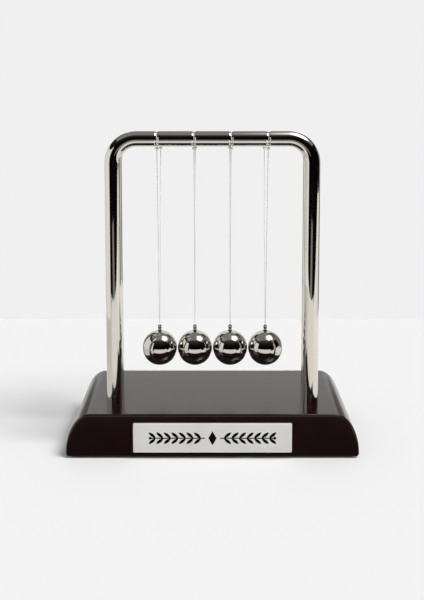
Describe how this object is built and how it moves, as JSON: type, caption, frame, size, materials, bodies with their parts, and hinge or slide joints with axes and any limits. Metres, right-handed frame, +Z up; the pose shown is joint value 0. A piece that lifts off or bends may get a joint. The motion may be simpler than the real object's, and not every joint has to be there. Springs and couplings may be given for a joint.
{
  "type": "newtons cradle",
  "caption": "Desk pendulum toy: polished steel balls in a row, hung on V strings between two bent chrome tube arches on a dark lacquered block base with a silver plate.",
  "frame": {"origin": "centre of the rest face, on the underside of the base pad", "axes": "+X along the row of balls to the viewer's right, +Y from the plate to the back, +Z up"},
  "size_m": [0.18, 0.0853, 0.1997],
  "materials": {
    "lacquer": "dark maroon lacquer, satin gloss",
    "pad": "matt black foam",
    "chrome_tube": "bright nickel chrome",
    "ball_steel": "polished bearing steel",
    "stud_black": "blackened",
    "nylon": "clear monofilament",
    "brass": "turned",
    "crimp": "nickel plated",
    "zinc": "zinc plated",
    "plate": "satin silver",
    "tape": "adhesive foam tape",
    "enamel": "black enamel fill"
  },
  "bodies": {
    "stand": {"base_block": "lacquer", "base_pad": "pad", "front_arch": "chrome_tube", "rear_arch": "chrome_tube", "tube_inserts": "brass", "foot_washers": "zinc", "foot_screws": "zinc", "name_plate": "plate", "plate_tape": "tape", "plate_inlay": "enamel", "front_loop_1": "nylon", "rear_loop_1": "nylon", "front_loop_2": "nylon", "rear_loop_2": "nylon", "front_loop_3": "nylon", "rear_loop_3": "nylon", "front_loop_4": "nylon", "rear_loop_4": "nylon"},
    "beads_1": {"front_bead_1": "crimp", "rear_bead_1": "crimp"},
    "pendulum_1": {"ball_1": "ball_steel", "stud_1": "stud_black", "string_1": "nylon"},
    "pendulum_2": {"ball_2": "ball_steel", "stud_2": "stud_black", "string_2": "nylon", "front_bead_2": "crimp", "rear_bead_2": "crimp"},
    "pendulum_3": {"ball_3": "ball_steel", "stud_3": "stud_black", "string_3": "nylon", "front_bead_3": "crimp", "rear_bead_3": "crimp"},
    "beads_4": {"front_bead_4": "crimp", "rear_bead_4": "crimp"},
    "pendulum_4": {"ball_4": "ball_steel", "stud_4": "stud_black", "string_4": "nylon"}
  },
  "joints": [
    {"name": "ball_2_swing", "type": "hinge", "parent": "stand", "child": "pendulum_2", "pos_m": [-0.0115, 0, 0.18766], "axis": [0, 0.9988, -0.0499], "range_deg": [0, 20]},
    {"name": "ball_1_with_ball_2", "type": "hinge", "parent": "stand", "child": "beads_1", "pos_m": [-0.0345, 0, 0.18766], "axis": [0, 0.9988, -0.0499], "range_deg": [0, 20]},
    {"name": "ball_1_swing", "type": "hinge", "parent": "beads_1", "child": "pendulum_1", "pos_m": [-0.0345, 0, 0.18766], "axis": [0, 0.9988, -0.0499], "range_deg": [0, 30]},
    {"name": "ball_3_swing", "type": "hinge", "parent": "stand", "child": "pendulum_3", "pos_m": [0.0115, 0, 0.18766], "axis": [0, -0.9988, 0.0499], "range_deg": [0, 20]},
    {"name": "ball_4_with_ball_3", "type": "hinge", "parent": "stand", "child": "beads_4", "pos_m": [0.0345, 0, 0.18766], "axis": [0, -0.9988, 0.0499], "range_deg": [0, 20]},
    {"name": "ball_4_swing", "type": "hinge", "parent": "beads_4", "child": "pendulum_4", "pos_m": [0.0345, 0, 0.18766], "axis": [0, -0.9988, 0.0499], "range_deg": [0, 30]}
  ],
  "couplings": [
    {"joint": "ball_1_with_ball_2", "follows": "ball_2_swing", "ratio": 1},
    {"joint": "ball_4_with_ball_3", "follows": "ball_3_swing", "ratio": 1}
  ]
}
